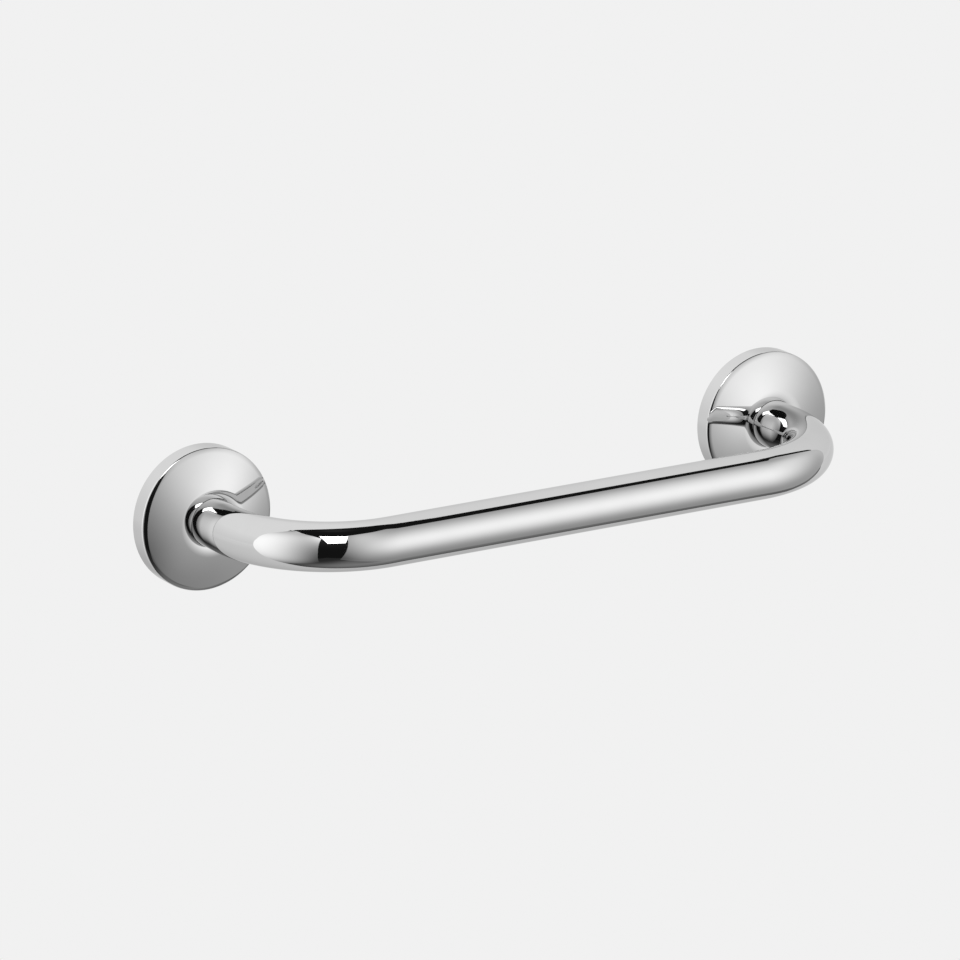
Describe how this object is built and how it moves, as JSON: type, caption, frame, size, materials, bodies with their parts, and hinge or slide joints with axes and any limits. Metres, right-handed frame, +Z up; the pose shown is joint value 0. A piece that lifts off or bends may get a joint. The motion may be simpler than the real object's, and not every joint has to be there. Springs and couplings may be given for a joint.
{
  "type": "grab bar",
  "caption": "Wall-mounted U-shaped grab bar of polished round tube, with welded wall flanges hidden under domed round covers.",
  "frame": {"origin": "on the wall, midway between the two fixings, which is the centre of the screw pattern on the flanges' back faces", "axes": "+X along the bar, +Y into the wall, so the bar stands out along -Y, and +Z up"},
  "size_m": [0.408, 0.102, 0.074],
  "materials": {
    "tube_chrome": "mirror-polished chrome plate",
    "cover_chrome": "mirror-polished chrome plate",
    "flange_steel": "plain mill-finish stainless steel with a weld bead"
  },
  "bodies": {
    "root": {"bar": "tube_chrome", "left_cover": "cover_chrome", "right_cover": "cover_chrome", "left_flange": "flange_steel", "right_flange": "flange_steel"}
  },
  "joints": []
}
